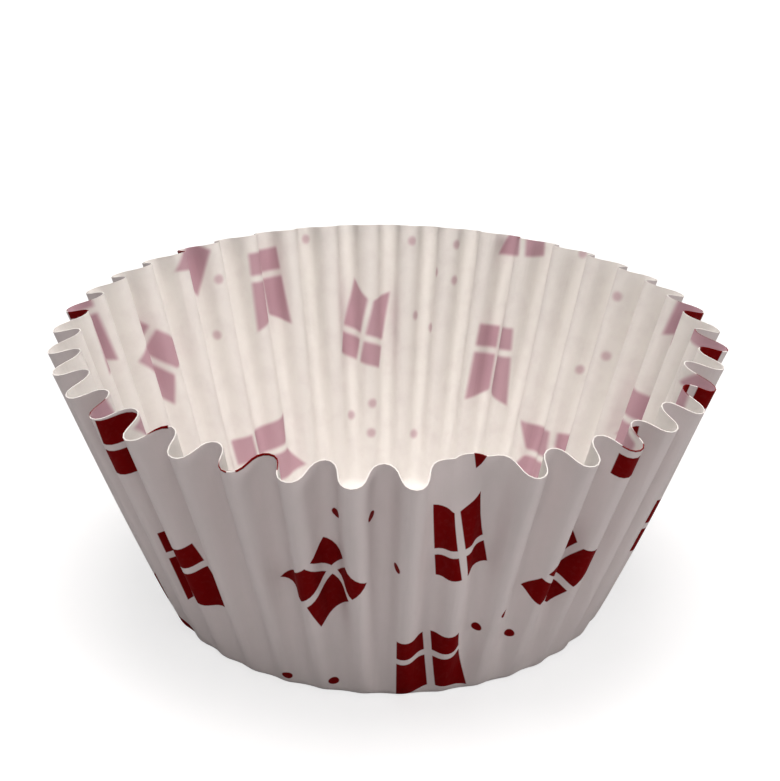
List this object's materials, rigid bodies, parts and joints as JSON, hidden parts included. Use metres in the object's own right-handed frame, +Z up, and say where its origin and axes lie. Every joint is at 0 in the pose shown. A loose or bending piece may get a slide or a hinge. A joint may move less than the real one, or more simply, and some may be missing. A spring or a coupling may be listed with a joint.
{
  "type": "cupcake liner",
  "caption": "Pleated paper baking cup with a flat round base and a flared, fluted wall that holds batter and the baked cake.",
  "frame": {"origin": "centre of the flat base's underside, on the surface that the liner stands on", "axes": "+Z up along the cup's axis, -Y towards the side that the picture shows at the front"},
  "size_m": [0.0752, 0.0751, 0.0326],
  "materials": {
    "paper": "thin white greaseproof paper with a soft sheen, printed in dark red on the outside"
  },
  "bodies": {
    "root": {"liner": "paper"}
  },
  "joints": []
}
